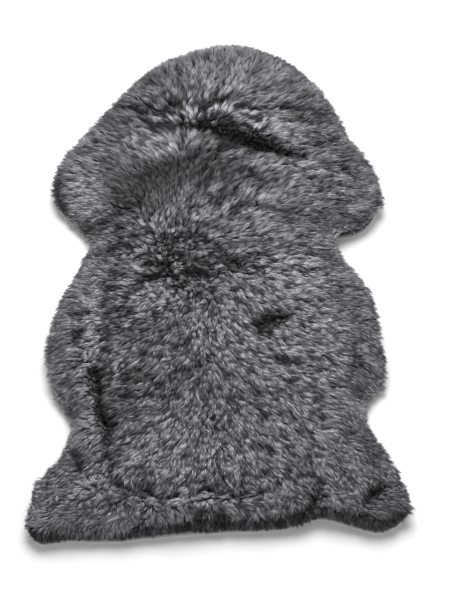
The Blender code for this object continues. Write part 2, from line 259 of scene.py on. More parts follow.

# Creases that the wool is pressed into, each a run of points in millimetres. depth is how far the bed
# sinks past the solid's own fold, reach how far to each side that runs out, and part how far the wool
# turns away from it and how much shade is painted into the wool there.
CREASES = {
    "neck": (
        (-161, 348, 2, 9, 0.2), (-128, 326, 4, 9, 0.3), (-108, 304, 6, 9, 0.5), (-84, 300, 10, 11, 0.7),
        (-50, 301, 12, 13, 1.0), (-21, 296, 15, 18, 1.0), (5, 285, 17, 23, 1.0), (39, 273, 19, 26, 1.0),
        (76, 261, 16, 20, 1.0), (115, 247, 11, 13, 1.0), (145, 239, 6, 8, 0.6),
    ),
    "cheek": ((175, 262, 4, 8, 0.5), (203, 275, 2, 7, 0.3)),
    "flank": (
        (-190, -158, 3, 9, 0.3), (-193, -178, 10, 14, 1.0), (-194, -196, 11, 15, 1.0),
        (-187, -224, 8, 10, 0.8), (-180, -252, 11, 13, 1.0), (-176, -268, 12, 14, 1.0),
        (-170, -292, 6, 9, 0.6), (-167, -318, 4, 8, 0.45), (-166, -345, 3, 7, 0.3),
    ),
    "flank branch": ((-176, -264, 8, 11, 0.8), (-152, -272, 5, 9, 0.4)),
    "hem": (
        (-118, -378, 5, 9, 0.2), (-96, -394, 8, 10, 0.3), (-75, -399, 8, 9, 0.2), (-44, -401, 5, 8, 0.1),
        (-25, -392, 7, 8, 0.25), (-7, -389, 8, 9, 0.3), (15, -397, 7, 10, 0.1), (37, -397, 9, 9, 0.3),
        (64, -395, 5, 7, 0.2), (86, -389, 3, 7, 0.1),
    ),
    "hem hollow": ((-160, -384, 3, 12, 0.2), (-146, -386, 4, 12, 0.3)),
    "lower hem": ((-25, -426, 4, 6, 0.5), (15, -433, 4, 6, 0.5)),
    "pleat": (
        (160, -378, 3, 6, 0.3), (154, -394, 5, 6, 0.5), (144, -413, 5, 7, 0.7), (133, -430, 5, 7, 0.7),
    ),
    "notch": ((156, -436, 10, 9, 0.9), (160, -452, 13, 9, 1.0)),
    "heel": ((253, -384, 9, 11, 0.9), (241, -397, 11, 12, 1.0), (233, -405, 6, 10, 0.6)),
    "right flank": ((213, -128, 2, 9, 0.2), (217, -239, 2, 9, 0.2)),
    "back hole": ((66, -90, 7, 13, 0.5), (82, -87, 11, 18, 0.6), (98, -81, 11, 13, 0.9)),
    "small hole": ((98, -79, 7, 8, 0.8), (118, -78, 6, 7, 0.6)),
    "lower hole": ((94, -155, 5, 7, 0.7), (112, -157, 5, 7, 0.7)),
    "back parting": ((-45, -185, 4, 6, 0.4), (-12, -150, 4, 6, 0.4)),
    "neck line west": ((-160, 344, 4, 6, 0.6), (-125, 336, 5, 6, 0.7), (-100, 333, 4, 6, 0.5)),
    "neck line mid": ((-94, 336, 6, 8, 0.8), (-69, 339, 6, 7, 0.8)),
    "neck line east": ((-34, 346, 6, 8, 0.7), (12, 351, 5, 7, 0.7)),
    "far line": ((30, 340, 4, 6, 0.6), (80, 337, 4, 6, 0.5), (125, 338, 4, 6, 0.6), (165, 330, 4, 6, 0.5)),
    "tuft line": ((-26, 332, 6, 7, 0.8), (-20, 311, 6, 7, 0.8)),
    "crown east": (
        (-56, 74, 3, 6, 0.5), (-17, 64, 5, 6, 0.7), (15, 31, 10, 11, 1.0), (35, 19, 9, 10, 1.0),
        (58, 14, 5, 8, 0.6), (84, 8, 3, 7, 0.3),
    ),
    "crown spots east": ((46, 35, 6, 7, 0.7), (64, 37, 5, 7, 0.7)),
    "crown spots north": ((-86, 64, 7, 8, 0.9), (-76, 66, 6, 7, 0.9)),
    "crown spots middle": ((-56, 35, 7, 8, 0.9), (-44, 29, 6, 7, 0.9)),
    "crown spots west": ((-122, 15, 7, 8, 0.9), (-104, 23, 5, 7, 0.8), (-80, 21, 6, 8, 0.8)),
    "crown south": ((-46, 2, 7, 9, 0.8), (-26, 0, 4, 8, 0.6), (-8, 2, 6, 8, 0.8)),
    "crown south-west": ((-128, -15, 7, 8, 0.9), (-110, -8, 4, 8, 0.7), (-92, -2, 7, 8, 0.9)),
    "crown spots south": ((-68, -13, 6, 7, 0.7), (-54, -15, 5, 7, 0.7)),
    "shoulder line": ((23, 121, 5, 7, 0.8), (58, 139, 4, 6, 0.7)),
    "back streak": ((-132, -93, 5, 7, 0.7), (-102, -78, 4, 7, 0.6)),
    "waist line": ((-185, 54, 2, 6, 0.3), (-160, 60, 2, 6, 0.3)),
    "shoulder parting": ((4, 148, 4, 6, 0.7), (28, 162, 4, 6, 0.7)),
    "side notches": ((-232, -78, 4, 6, 0.5), (-212, -73, 4, 6, 0.5)),
    "side notches below": ((-226, -113, 5, 6, 0.6), (-216, -106, 5, 6, 0.6), (-226, -134, 4, 5, 0.4)),
    "thigh notch": ((-219, -325, 5, 7, 0.7), (-211, -355, 5, 7, 0.7)),
    "step": ((-178, -30, 2, 8, 0.4), (-181, -80, 3, 8, 0.5), (-182, -120, 2, 8, 0.4)),
}


def bed_material():
    material, tree, shader, add = new_material("lower wool painted shade")
    place = add("ShaderNodeTexCoord").outputs["Object"]
    tufts = add("ShaderNodeTexNoise", {"Vector": place, "Scale": TUFTS, "Detail": 4.0, "Roughness": 0.65})
    # The bed's painted shade, mottled by the tufts' noise.
    dark = [0.5 * part for part in BED_PAINTED_SHADE]
    pale = [1.8 * part for part in BED_PAINTED_SHADE]
    colour = two_tone(add, tufts.outputs["Fac"], 0.35, dark, 0.70, pale)
    bump = add("ShaderNodeBump", {"Height": tufts.outputs["Fac"], "Strength": 0.9, "Distance": BED_RELIEF})
    tree.links.new(colour, shader.inputs["Base Color"])
    tree.links.new(bump.outputs["Normal"], shader.inputs["Normal"])
    shader.inputs["Roughness"].default_value = BED_ROUGHNESS
    return material


def read(mesh, what):
    """A row for each vertex of the mesh with its place or its normal."""
    values = np.empty(len(mesh.vertices) * 3, dtype=np.float32)
    mesh.vertices.foreach_get(what, values)
    return values.reshape(-1, 3).astype(float)


def soft_step(values, low, high):
    """0 up to low, 1 from high on, and smooth between."""
    share = np.clip((values - low) / (high - low), 0.0, 1.0)
    return share * share * (3.0 - 2.0 * share)


def nearness(points, x, y, radius):
    """1 at a spot given in millimetres, and smoothly less away from it, down to nothing past its radius."""
    return np.exp(-((points[:, 0] - x * MM) ** 2 + (points[:, 1] - y * MM) ** 2) / (radius * MM) ** 2)


def towards_hem(points, out):
    """How far each point is within the hem's stretch, and how far its own rim faces the hem's side."""
    return soft_step(-points[:, 1], *HEM_FROM), soft_step(-out[:, 1], *HEM_FACING)


def noise_at(points, size, pattern):
    """Smooth noise from -1 to 1 at each point, with features about that size in metres."""
    shift = Vector((0.0, 0.0, pattern))
    return np.array([noise.noise(Vector((x, y, z)) / size + shift) for x, y, z in points])


def crease_effect(points):
    """How far the creases sink the bed at each point, how much they part the wool, and how they turn it."""
    wander = np.column_stack((noise_at(points, 0.022, 31.0), noise_at(points, 0.022, 37.0)))
    broken = np.clip(1.3 * noise_at(points, 0.011, 41.0), -0.15, 0.9)
    points = points[:, :2] + CREASE_WANDER * wander
    sink = np.zeros(len(points))
    parted = np.zeros(len(points))
    turn_away = np.zeros((len(points), 2))
    for rows in CREASES.values():
        nearest = np.full(len(points), 2.0)
        depth_here = np.zeros(len(points))
        part_here = np.zeros(len(points))
        away_here = np.zeros((len(points), 2))
        for first, last in zip(rows, rows[1:]):
            change = np.subtract(last, first)
            first = np.array(first)
            run = change[:2] * MM
            offset = points - first[:2] * MM
            share = np.clip(offset @ run / (run @ run), 0.0, 1.0)
            across = offset - share[:, None] * run
            distance = np.hypot(across[:, 0], across[:, 1])
            values = first[2:] + share[:, None] * change[2:]
            ratio = distance / (values[:, 1] * MM)
            ratio = ratio + (1.0 - soft_step(values[:, 0], *CREASE_BREAKS)) * broken
            closer = ratio < nearest
            nearest[closer] = np.maximum(ratio[closer], 0.0)
            depth_here[closer] = values[closer, 0] * MM
            part_here[closer] = values[closer, 2]
            away_here[closer] = across[closer] / np.maximum(distance[closer], 1.0 * MM)[:, None]
        fall = (1.0 - np.minimum(nearest, 1.0) ** 2) ** 2
        sink += depth_here * fall
        spread = 1.0 - soft_step(nearest, *CREASE_SPREAD)
        parted = np.maximum(parted, part_here * spread)
        turn_away += away_here * (part_here * spread)[:, None]
    return sink, parted, turn_away


# How the wool was combed: at each place, in millimetres, the way its tips point, in degrees anticlockwise
# from the rug's right side, and how far they lean over from upright.
COMBED = (
    (-60, 430, 118, 66), (30, 440, 80, 66), (110, 410, 48, 68), (-134, 354, 165, 70), (-30, 370, 70, 66),
    (30, 354, 30, 68), (112, 354, 8, 72), (-175, 282, 158, 72), (-93, 282, 166, 70), (-11, 270, 352, 68),
    (71, 290, 356, 68), (153, 310, 2, 72), (185, 282, 358, 72), (-216, 211, 160, 74), (-134, 211, 150, 70),
    (-50, 215, 80, 62), (30, 211, 44, 68), (112, 211, 8, 74), (194, 211, 358, 74), (-235, 160, 186, 74),
    (-175, 140, 182, 72), (-93, 140, 70, 36), (-11, 140, 28, 66), (71, 140, 28, 72), (153, 140, 356, 74),
    (235, 150, 350, 74), (-134, 68, 196, 48), (-52, 68, 20, 30), (30, 68, 358, 66), (112, 68, 352, 74),
    (194, 68, 348, 74), (-190, -3, 188, 72), (-93, -3, 212, 40), (-11, -3, 336, 60), (71, -3, 336, 72),
    (153, -3, 346, 74), (225, -10, 350, 74), (-216, -74, 192, 74), (-134, -74, 204, 72),
    (-52, -74, 236, 64), (30, -74, 306, 70), (112, -74, 330, 74), (194, -74, 344, 74),
    (-257, -146, 200, 74), (-175, -146, 214, 72), (-93, -146, 238, 72), (-11, -146, 282, 70),
    (71, -146, 320, 74), (153, -146, 330, 74), (235, -146, 326, 74), (-225, -217, 208, 72),
    (-134, -217, 216, 72), (-52, -217, 250, 72), (30, -217, 304, 72), (112, -217, 324, 74),
    (194, -217, 326, 74), (-200, -288, 212, 72), (-140, -288, 218, 72), (-80, -288, 244, 72),
    (-11, -288, 262, 72), (71, -288, 296, 72), (153, -288, 316, 74), (225, -288, 322, 74),
    (-240, -380, 214, 72), (-134, -350, 240, 70), (-52, -360, 254, 70), (30, -360, 282, 70),
    (112, -360, 300, 70), (200, -360, 308, 72), (265, -395, 318, 72), (-250, -440, 226, 70),
    (-150, -440, 252, 68), (-40, -440, 266, 68), (70, -440, 278, 68), (190, -430, 296, 68),
)


def combed_at(points):
    """The way the wool lies and how far it leans, at each point: an even blend of the strokes around it."""
    strokes = np.array(COMBED, dtype=float)
    heading = np.radians(strokes[:, 2])
    across = points[:, None, 0] - strokes[None, :, 0] * MM
    along = points[:, None, 1] - strokes[None, :, 1] * MM
    weight = np.exp(-0.5 * (np.hypot(across, along) / COMB_REACH) ** 2) + 1e-9
    weight /= weight.sum(axis=1)[:, None]
    way = np.column_stack((weight @ np.cos(heading), weight @ np.sin(heading)))
    way /= np.maximum(np.hypot(way[:, 0], way[:, 1]), 0.05)[:, None]
    return way, np.radians(weight @ strokes[:, 3])


def drawn_out(points, way, size, pattern):
    """Smooth noise that is drawn out along the way the wool lies."""
    steps = [points + way * size * step for step in DRAW_STEPS]
    return sum(noise_at(step, size, pattern) for step in steps) / len(steps)


bed = merged_copy("fleece", "wool_bed")
grid = bed.modifiers.new("grid", "REMESH")
grid.mode = "VOXEL"
grid.voxel_size = BED_GRID
evened = bed.modifiers.new("evened", "SMOOTH")
evened.factor = 0.5
evened.iterations = BED_SMOOTHING
keep_result(bed)
place = read(bed.data, "co")
upward = read(bed.data, "normal")
on_top = soft_step(upward[:, 2], *TOP_SLOPE)
below = soft_step(-upward[:, 2], *UNDERSIDE_SLOPE)
depth = (BED_DEPTH_SIDE + (BED_DEPTH_TOP - BED_DEPTH_SIDE) * on_top) * (1.0 - below)
for x, y, radius, more in TRIMMED:
    depth += more * MM * nearness(place, x, y, radius)
place -= upward * depth[:, None]
for x, y, radius, lower in THINNED:
    place[:, 2] *= 1.0 - lower * nearness(place, x, y, radius)
rim_gap, rim_out = from_edge(place)
at_rim = 1.0 - soft_step(rim_gap, 0.0, TRIM_DEEP)
for x, y, radius, less in CLIPPED:
    place -= rim_out * (less * MM * (nearness(place, x, y, radius) * at_rim))[:, None]
at_hem, facing = towards_hem(place, rim_out)
place -= rim_out * (HEM_BACK * (at_hem * facing * at_rim))[:, None]
place[:, 2] -= crease_effect(place)[0] * on_top
lie = np.column_stack((combed_at(place)[0], np.zeros(len(place))))
waves = BROAD_HEIGHT * drawn_out(place, lie, *BROAD_DRIFTS)
waves += FINE_HEIGHT * drawn_out(place, lie, *FINE_DRIFTS)
waves *= 1.0 - 0.5 * soft_step(place[:, 1], *CALMER_NECK)
place += upward * (waves * MM * on_top)[:, None]
bed.data.vertices.foreach_set("co", place.astype(np.float32).ravel())
bed.data.update()
bed.data.materials.append(bed_material())
bed.data.shade_smooth()
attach(bed, "root")
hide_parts("fleece")

# --------------------------------------------------------------------------------------------------------
# The wool is crimped strands that gather into small locks. They lie away from a crown between the
# shoulders, lean further over the nearer they are to the rim, and have dark roots, partly painted shade,
# and lighter tips. Their tone carries painted light and shade as well. They grow from the bed.
# --------------------------------------------------------------------------------------------------------
UNDER_SPACING = 1.26 * MM
OVER_SPACING = 3.55 * MM
LOCK_SPACING = 4.2 * MM
UNDER_WIDTH = 0.76 * MM
OVER_WIDTH = 0.88 * MM
LOCKS_MOST = 160000.0
STRANDS_MOST = 1500000.0

# Bands along the rim, from and to so many metres in from its edge. Then slopes, by how far the normal
# rises: from a wall to the top, and from the underside, where no wool grows, to a wall.
NEAR_EDGE = (0.008, 0.026)
INSIDE = (0.010, 0.080)
BRIM = (0.005, 0.017)
WALL_SLOPE = (0.15, 0.70)
WOOLED_SLOPE = (-0.45, -0.15)

# How high tips stand over the bed, the shortest and the longest strand on the top, the length on a wall, the
# least and the most on the hem's wall, the length on the brim, and the lowest and the highest that a tip may
# be. By a crease and near the edge a strand is shorter by these shares, and in a loose lock longer.
RISE_TOP = 6.5 * MM
STRAND_SHORTEST = 13.0 * MM
STRAND_LONGEST = 19.0 * MM
STRAND_WALL = 9.0 * MM
HEM_WALL_LEAST = 3.0 * MM
HEM_WALL_MOST = 12.0 * MM
BRIM_REACH = 11.0 * MM
LOWEST_TIP = 1.5 * MM
TALLEST = 60.0 * MM
PARTED_SHORTER = 0.35
EDGE_SHORTER = 0.30
LOOSE_LONGER = 0.8

# The swirls of the wool, broad to fine: how far they turn it in radians, their size in metres and the number
# of their pattern. Then how far it swirls at the crown, where it is ruffled and at the hem, how far it turns
# away from a crease, how much its lean varies, and how much less it leans in a parting and by the hem.
SWIRLS = ((0.35, 0.050, 0.0), (0.35, 0.020, 5.0), (0.45, 0.011, 13.0))
CROWN_SWIRL = 2.4
RUFFLED_SWIRL = 1.6
HEM_SWIRL = 1.5
TURNED_AWAY = 1.3
LEAN_VARIES = 0.20
PARTED_UPRIGHT = 0.5
HEM_UPRIGHT = math.radians(12.0)

# The way of the wool on the brim over the hem, on a wall, and on the hem's own wall: so much outwards, so
# much the way it is combed, and so much up.
BRIM_WAY = (0.95, 0.25, -0.30)
WALL_WAY = (0.33, 0.15, 1.0)
HEM_WALL_WAY = (0.22, 0.12, -1.0)

# The least and the most of what varies at random, as shares, and where a strand bows out and how far.
LOCK_LENGTHS = (0.75, 1.3)
STRAND_LENGTHS = (0.6, 1.3)
GATHERED = (0.5, 1.3)
GIRTHS = (0.75, 1.25)
BOW_ALONG = 0.42
BOW_RISE = 0.26

# The colours of a strand's tip and root are those at the middle tone; the root's darkness is partly painted
# shade. The lightest tone is so many times lighter than the darkest.
WOOL_ROUGHNESS = 0.5
WOOL_TIP = (0.310, 0.310, 0.332)
WOOL_SHADOW = (0.048, 0.048, 0.052)
TONE_STEP = 20.0
TONE_MIDDLE = 0.66

# What adds to the tone or takes off it: all the wool alike, a broad unevenness, the patches (painted light
# and shade), the creases (painted shade), the fine and the broad drifts (the wool's own tone, and painted
# shade over the bed's hollows), the hem's wall and the upper part of that wall (painted shade), its locks,
# each lock of the top, and each strand by itself. A dark drift is stronger than a light one, and what is
# lighter than the middle by more than the last number is held back to half.
TONE_RAISED = 0.105
BROAD_TONE = 0.07
PATCH_LIGHT_AND_SHADE = 0.85
CREASE_PAINTED_SHADE = 0.60
FINE_DRIFT_TONE_AND_SHADE = 0.38
BROAD_DRIFT_TONE_AND_SHADE = 0.31
HEM_WALL_PAINTED_SHADE = 0.20
WALL_TOP_PAINTED_SHADE = 0.24
WALL_LOCK_TONE = 0.45
LOCK_TONE = 0.62
STRAND_TONE = 0.02
DRIFT_DARK = 1.40
DRIFT_LIGHT = 0.75
TONE_HELD = 0.10

# A strand is mostly seen this far past its root. The flecks on it are this long and wide, and this strong.
# SHADE_DARK spreads the dark shades, and SHADE_LIGHT and SHADE_FROM hold the light ones to a small rise. The
# tone stays between the least and the most.
SEEN_ALONG = 8.0 * MM
STREAK_LONG = 9.0 * MM
STREAK_WIDE = 4.5 * MM
STREAK_TONE = 1.8
SHADE_DARK = 1.3
SHADE_LIGHT = 0.18
SHADE_FROM = 0.03
TONE_LEAST = 0.01
TONE_MOST = 0.93

# How far in from the edge the brim is painted dark as shade, in millimetres, and how much more that is
# right of the left leg, from place to place, and at the left leg's tip.
BRIM_DEEP = 5.5
BRIM_RIGHT = 7.5
BRIM_UNEVEN = 4.5
BRIM_LEG = 5.0

# Painted light and shade: where the wool is painted darker or lighter, as it lies towards the light or away
# from it and where shade falls into creases and hollows: the middle in millimetres, half the length and half
# the width, the way it runs in degrees and how much lighter it is.
PAINTED_LIGHT_PATCHES = {
    "dark saddle": (
        (-92, 160, 60, 36, 170, -0.34), (-180, 250, 45, 40, 0, -0.06), (-152, 139, 37, 26, 12, -0.34),
        (-127, 191, 51, 20, 14, -0.28), (-109, 202, 32, 14, 32, -0.16), (-20, 205, 63, 24, 175, -0.16),
        (63, 205, 41, 15, 6, -0.12), (-2, 193, 82, 30, 0, -0.10), (-62, 227, 56, 17, 10, -0.26),
        (-162, 139, 25, 18, 24, -0.06), (-130, 172, 48, 34, 12, -0.08), (38, 155, 66, 44, 0, -0.07),
        (-55, 187, 38, 20, 16, -0.26), (-30, 218, 50, 22, 175, -0.16), (-178, 208, 34, 13, 20, -0.22),
        (32, 234, 44, 13, 7, 0.16), (-206, 243, 15, 12, 0, 0.25), (32, 185, 24, 13, 5, -0.24),
    ),
    "left shoulder": (
        (-227, 169, 35, 15, 115, 0.22), (-244, 140, 26, 12, 88, 0.28), (-200, 73, 14, 8, 124, 0.30),
        (-264, 150, 35, 8, 106, -0.50), (-236, 244, 32, 6, 40, -0.20), (-268, 193, 13, 6, 85, -0.26),
        (-212, 94, 26, 7, 143, -0.39),
    ),
    "neck bank": (
        (-114, 262, 45, 14, 15, 0.20), (-134, 271, 24, 11, 160, 0.36), (-100, 240, 30, 14, 24, 0.40),
        (-66, 284, 22, 8, 166, 0.30), (-186, 269, 16, 9, 130, -0.22), (46, 330, 39, 9, 0, 0.50),
        (102, 300, 35, 13, 164, 0.40), (-48, 318, 16, 8, 95, 0.20), (-66, 313, 16, 9, 66, -0.20),
        (18, 318, 34, 8, 175, 0.22),
    ),
    "neck": (
        (-110, 405, 60, 35, 40, -0.08), (30, 412, 125, 50, 0, -0.12), (-31, 448, 30, 12, 8, -0.40),
        (120, 430, 40, 16, 140, -0.24), (40, 452, 26, 12, 166, -0.22), (-110, 400, 34, 16, 45, -0.14),
        (-82, 376, 14, 24, 0, -0.10), (-72, 378, 32, 10, 124, -0.24), (-111, 369, 26, 12, 15, 0.20),
        (-143, 306, 18, 9, 142, -0.22), (38, 274, 52, 20, 161, -0.75), (-84, 294, 36, 12, 174, -1.10),
        (-80, 309, 18, 7, 0, -0.45), (-40, 302, 34, 10, 175, -0.60), (112, 248, 34, 9, 163, -0.50),
        (86, 294, 30, 10, 163, 0.30), (160, 261, 13, 7, 159, -0.30), (148, 308, 44, 18, 115, -0.26),
        (-28, 313, 30, 12, 150, -0.25), (-50, 326, 13, 9, 88, 0.56),
    ),
    "hem line": (
        (-92, -399, 12, 5, -11, -0.45), (-65, -397, 12, 3, 0, -0.35), (-19, -388, 13, 5, 22, -0.50),
        (9, -384, 12, 3, 0, -0.30), (41, -396, 15, 5, 0, -0.50), (71, -395, 11, 3, 11, -0.40),
        (83, -390, 18, 11, 157, -0.22), (-137, -379, 28, 5, -13, -0.20),
    ),
    "neck lines": (
        (-128, 337, 33, 5, 166, -0.50), (-74, 343, 15, 9, 7, -0.80), (-10, 348, 22, 7, 6, -0.43),
        (54, 338, 26, 5, 175, -0.24), (22, 354, 14, 7, 43, -0.28), (84, 311, 30, 6, 161, -0.22),
        (-90, 326, 12, 9, 134, 0.34), (193, 308, 18, 12, 92, -0.16), (129, 336, 33, 5, 168, -0.34),
        (-24, 320, 13, 7, 115, -0.70), (28, 361, 24, 8, 15, -0.30), (186, 267, 19, 5, 21, -0.50),
    ),
    "right shoulder": (
        (219, 174, 15, 13, 90, -0.26), (216, 80, 26, 9, 12, 0.62), (238, 228, 20, 13, 130, -0.20),
        (195, 21, 26, 10, 137, -0.26), (112, 153, 24, 13, 161, -0.26), (184, 108, 34, 20, 75, -0.26),
        (14, 88, 36, 22, 110, -0.26), (116, 51, 30, 17, 105, -0.20),
    ),
    "parting": ((35, 153, 30, 5, 43, 0.26), (16, 154, 12, 4, 35, -0.43), (52, 107, 28, 9, 17, 0.12)),
    "crown": (
        (-57, 61, 45, 13, 162, -0.12), (-60, 26, 57, 15, 4, -0.19), (-39, 2, 22, 9, 0, -0.20),
        (-108, -4, 18, 7, 14, -0.20), (-152, 62, 14, 5, 14, -0.23), (26, 24, 20, 7, 154, -0.30),
        (-178, 44, 42, 7, 12, -0.42), (-126, 27, 22, 10, 0, 0.20), (-212, 33, 20, 7, 13, 0.14),
        (-80, 76, 22, 7, 8, 0.22), (-79, 113, 38, 18, 160, -0.16), (-110, 104, 26, 8, 8, 0.22),
        (-78, 50, 16, 10, 90, 0.66), (54, 56, 17, 8, 8, -0.22), (-188, 99, 15, 7, 149, -0.22),
        (-132, 12, 12, 8, 0, 0.18), (-45, 50, 56, 29, 0, 0.08), (-103, 105, 17, 16, 0, -0.18),
        (-112, -53, 17, 36, -34, 0.15),
    ),
    "broad light and dark": (
        (-133, 352, 90, 43, 45, -0.16), (-55, 241, 85, 29, 0, -0.17), (-126, 169, 64, 45, 6, -0.12),
        (-95, 88, 100, 34, 6, -0.14), (123, -2, 85, 54, -12, 0.18), (-208, -106, 68, 21, 92, 0.18),
        (15, -114, 74, 53, 0, 0.15), (-147, -215, 50, 22, 91, -0.08), (-81, -288, 93, 50, 91, 0.12),
        (-207, -305, 74, 21, 83, 0.13), (147, -288, 95, 49, -22, 0.10), (233, -426, 40, 22, 0, -0.14),
        (-17, -415, 34, 14, 6, 0.14), (243, -134, 56, 21, 88, 0.08), (10, 238, 50, 26, 175, -0.14),
        (-150, 5, 40, 22, 10, -0.12), (70, 60, 80, 26, 5, -0.07), (98, -22, 34, 22, 54, 0.12),
        (-154, -57, 48, 14, 68, -0.13), (246, -106, 70, 14, 95, -0.12), (143, 341, 60, 28, 162, -0.12),
        (14, -96, 52, 22, 134, 0.13), (-74, -328, 34, 18, 10, 0.14), (184, -362, 58, 20, 122, -0.14),
        (-134, -168, 42, 20, 1, 0.13), (-150, -20, 80, 24, 90, -0.08), (170, -60, 60, 26, 90, 0.10),
        (-203, -340, 40, 18, 83, 0.08),
    ),
    "left flank": (
        (-193, -37, 38, 12, 102, 0.36), (-177, -73, 46, 7, 91, -0.34), (-197, -86, 58, 8, 92, 0.60),
        (-200, -152, 18, 10, 132, 0.42), (-221, -75, 12, 7, 12, -0.20), (-221, -112, 8, 5, 70, -0.30),
        (-223, -132, 6, 4, 41, -0.20), (-205, -242, 50, 6, 101, 0.10), (-226, -238, 24, 14, 43, -0.26),
        (-202, -205, 24, 12, 135, 0.22), (-206, -134, 28, 11, 83, 0.45), (-202, -218, 25, 6, 96, 0.22),
        (-203, -261, 18, 13, 92, 0.08), (-171, -266, 22, 9, 0, -0.30), (-194, -184, 16, 11, 98, -0.30),
    ),
    "back": (
        (-96, -33, 18, 11, 8, 0.22), (-126, -69, 38, 12, 30, 0.56), (-124, -113, 34, 8, 52, -0.24),
        (-95, -125, 11, 9, 38, -0.20), (123, 2, 28, 18, 21, 0.14), (30, -119, 28, 12, 100, 0.18),
        (80, -88, 22, 17, 12, -0.60), (67, -92, 10, 7, 0, -0.25), (109, -79, 15, 6, 2, -0.45),
        (103, -155, 12, 7, 167, -0.40), (-28, -169, 24, 6, 47, -0.16), (-98, -208, 60, 22, 169, -0.10),
        (38, -148, 44, 14, 105, 0.26), (28, -226, 36, 17, 150, -0.24), (92, -22, 26, 22, 30, 0.30),
        (-56, -164, 30, 18, 166, 0.16), (-56, -86, 28, 24, 110, -0.20), (-128, -238, 42, 22, 12, -0.24),
        (-165, -104, 16, 12, 90, -0.24), (28, -337, 44, 22, 62, 0.20), (-54, -226, 61, 19, 5, -0.11),
        (21, -284, 24, 4, 98, -0.22), (115, -7, 61, 22, 151, 0.10),
    ),
    "lower back": (
        (110, -160, 90, 60, 90, 0.08), (215, -250, 30, 70, 90, 0.06), (215, -380, 45, 30, 0, 0.08),
    ),
    "right flank": (
        (222, -160, 24, 8, 103, -0.14), (220, -53, 36, 9, 95, -0.22), (193, -144, 40, 13, 124, 0.10),
        (261, -332, 15, 6, 119, -0.22), (211, -176, 16, 9, 119, 0.20), (207, 127, 17, 6, 112, -0.31),
        (236, 110, 22, 9, 32, -0.31),
    ),
    "thighs": (
        (240, -397, 18, 8, 45, -0.30), (284, -393, 30, 8, 105, -0.20), (149, -405, 26, 6, 62, -0.08),
        (-182, -374, 22, 18, 60, 0.44), (-152, -310, 30, 20, 14, 0.20), (122, -390, 30, 24, 25, 0.16),
        (240, -319, 30, 11, 118, -0.31), (-215, -341, 18, 6, 113, -0.34), (-137, -390, 33, 11, 167, -0.28),
        (-134, -368, 9, 5, 11, 0.30), (-56, -413, 12, 9, 11, 0.28), (-20, -406, 12, 9, 11, 0.28),
        (46, -414, 15, 9, 0, 0.28), (-64, -388, 34, 5, 0, 0.15), (-35, -382, 16, 6, 0, 0.24),
        (-5, -409, 6, 5, 0, -0.50), (214, -398, 11, 7, 167, 0.18), (151, -418, 16, 5, 111, 0.14),
        (-233, -414, 67, 26, 175, 0.04),
    ),
}

# Where the wool is more ruffled or calmer than elsewhere, in rows of the same kind.
RUFFLED = (
    (80, -88, 24, 18, 12, 0.6), (245, -415, 60, 48, 0, -0.35), (-170, -450, 140, 30, 0, -0.20),
    (30, 418, 120, 44, 0, -0.25), (-21, 305, 129, 46, -12, 0.75), (-77, 37, 82, 63, 0, 0.45),
    (54, 12, 66, 50, -12, 0.25), (-2, -414, 116, 20, 6, 0.45), (183, -418, 62, 24, 0, 0.25),
    (-127, 194, 78, 53, 6, -0.45), (30, 420, 139, 52, 0, -0.15), (-172, -106, 114, 42, 92, 0.30),
    (206, -143, 288, 40, 91, -0.20),
)

# In millimetres: the middle and the radius of the crown, the stretches of the hem where upper locks drape
# over its wall and its painted shade is halved, and the single locks that stand out from the rim.
CROWN = (-75, 30, 70)
DRAPED = ((-180, 30), (183, 22))
LOOSE = ((-252, -322, 11), (-277, -362, 12), (-299, -392, 9), (-228, 75, 10), (290, -420, 12))


def patched(points, rows):
    """The sum of the patches' values at each point."""
    total = np.zeros(len(points))
    for x, y, long, wide, heading, value in rows:
        way = np.array((math.cos(math.radians(heading)), math.sin(math.radians(heading))))
        offset = points[:, :2] - np.array((x, y)) * MM
        along = (offset @ way) / (long * MM)
        across = (offset @ np.array((-way[1], way[0]))) / (wide * MM)
        total += value * np.exp(-(along ** 4 + across ** 2))
    return total


def blended(first, last, share):
    """The first values where the share is 0, the last ones where it is 1, and a mix between."""
    share = share[:, None] if np.ndim(first) == 2 else share
    return first * (1.0 - share) + last * share


def way_of(outward, combed, rise):
    """A way that is made up of so much outwards, so much the way the wool is combed, and so much up."""
    return outward * out + combed * lie + np.array((0.0, 0.0, rise))


ground = bpy.data.objects.new("growing ground", bed.data.copy())
bpy.context.collection.objects.link(ground)
finer = ground.modifiers.new("finer", "SUBSURF")
finer.levels = 1
finer.render_levels = 1
keep_result(ground)
place = read(ground.data, "co")
upward = read(ground.data, "normal")

# Where each place of the ground is: near the edge, at the hem, on the brim over it or on the wall below.
edge_gap, out = from_edge(place)
at_hem, facing = towards_hem(place, out)
near_edge = 1.0 - soft_step(edge_gap, *NEAR_EDGE)
inside = soft_step(edge_gap, *INSIDE)
on_brim = at_hem * (1.0 - soft_step(edge_gap, *BRIM))
side = 1.0 - soft_step(upward[:, 2], *WALL_SLOPE)
hung = at_hem * facing
crown = nearness(place, *CROWN)
loose = sum(nearness(place, *spot) for spot in LOOSE)
ruffled = patched(place, RUFFLED)
_, parted, turn_away = crease_effect(place)

